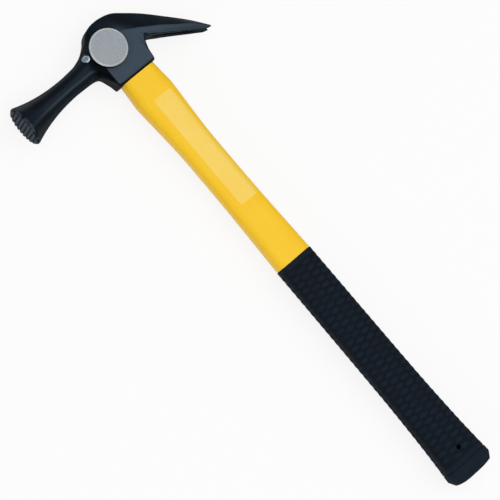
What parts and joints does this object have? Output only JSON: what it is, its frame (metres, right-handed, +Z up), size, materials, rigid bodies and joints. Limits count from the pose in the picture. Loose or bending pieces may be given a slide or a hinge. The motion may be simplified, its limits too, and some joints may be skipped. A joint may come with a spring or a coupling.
{
  "type": "formwork hammer",
  "caption": "Formwork hammer: forged black head with a milled bell face, slotted nail claw and ground side-strike bosses, on a yellow jacketed glass-fibre handle with a ribbed rubber grip.",
  "frame": {"origin": "on the lower side-strike face, under the line of the handle, level with the centre of the bosses; the hammer lies on its side on this face", "axes": "+X along the handle to the butt, +Y to the claw, -Y to the striking face, +Z up through the cheeks"},
  "size_m": [0.4479, 0.1637, 0.0334],
  "materials": {
    "head_paint": "black paint on forged steel, satin on the cheeks and glossy on the neck, with the boss faces ground bright",
    "magnet_plating": "nickel-plated magnet",
    "resin": "cast amber resin",
    "glass_fibre": "pultruded glass fibre",
    "yellow_jacket": "moulded yellow plastic, satin gloss",
    "grip_rubber": "matte black rubber with rows of raised bars"
  },
  "bodies": {
    "root": {"hammer_head": "head_paint", "nail_magnet": "magnet_plating", "eye_resin": "resin", "handle_core": "glass_fibre", "handle_jacket": "yellow_jacket", "rubber_grip": "grip_rubber"}
  },
  "joints": []
}
